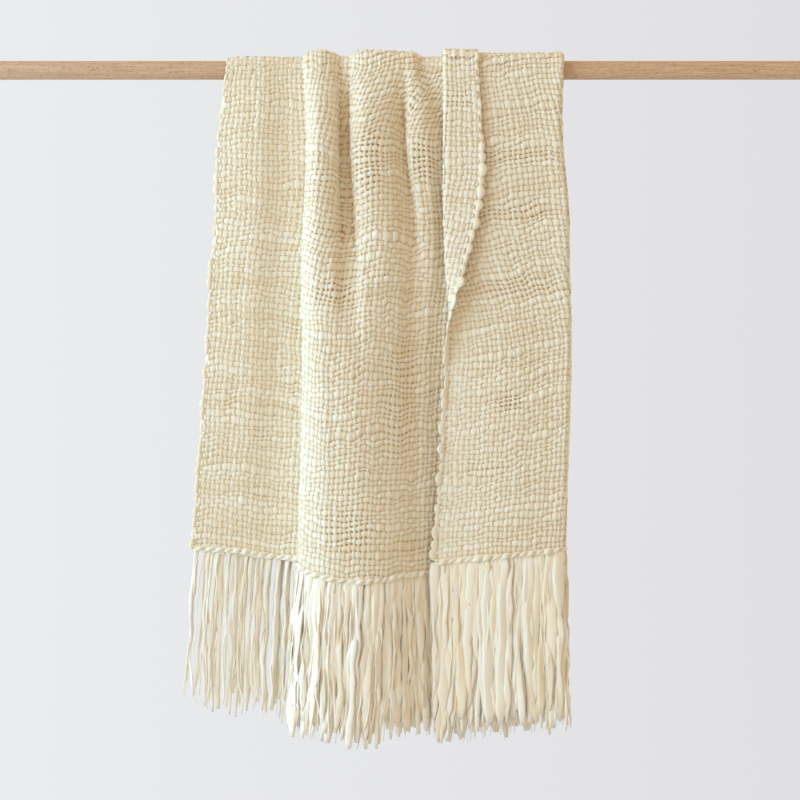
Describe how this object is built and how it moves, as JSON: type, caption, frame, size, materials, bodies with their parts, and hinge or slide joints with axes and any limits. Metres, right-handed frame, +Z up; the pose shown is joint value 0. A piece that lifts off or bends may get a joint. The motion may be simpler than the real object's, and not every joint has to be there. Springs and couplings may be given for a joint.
{
  "type": "wool blanket on a wooden rod",
  "caption": "Cream plain-woven wool blanket with long fringed ends, doubled over at one side and draped in upright folds over a round wooden rod.",
  "frame": {"origin": "centre of the rod's left end face", "axes": "+X along the rod towards its right end, +Y away from the viewer towards the back of the blanket, +Z up"},
  "size_m": [1.2, 0.1152, 0.9462],
  "materials": {
    "rod": "satin, smooth sanded beech",
    "throw": "undyed cream wool, coarse plain weave, matt",
    "fringe": "undyed cream wool, loose unspun ends, matt"
  },
  "bodies": {
    "root": {"rod": "rod", "throw": "throw", "fringe_front": "fringe", "fringe_back": "fringe"}
  },
  "joints": []
}
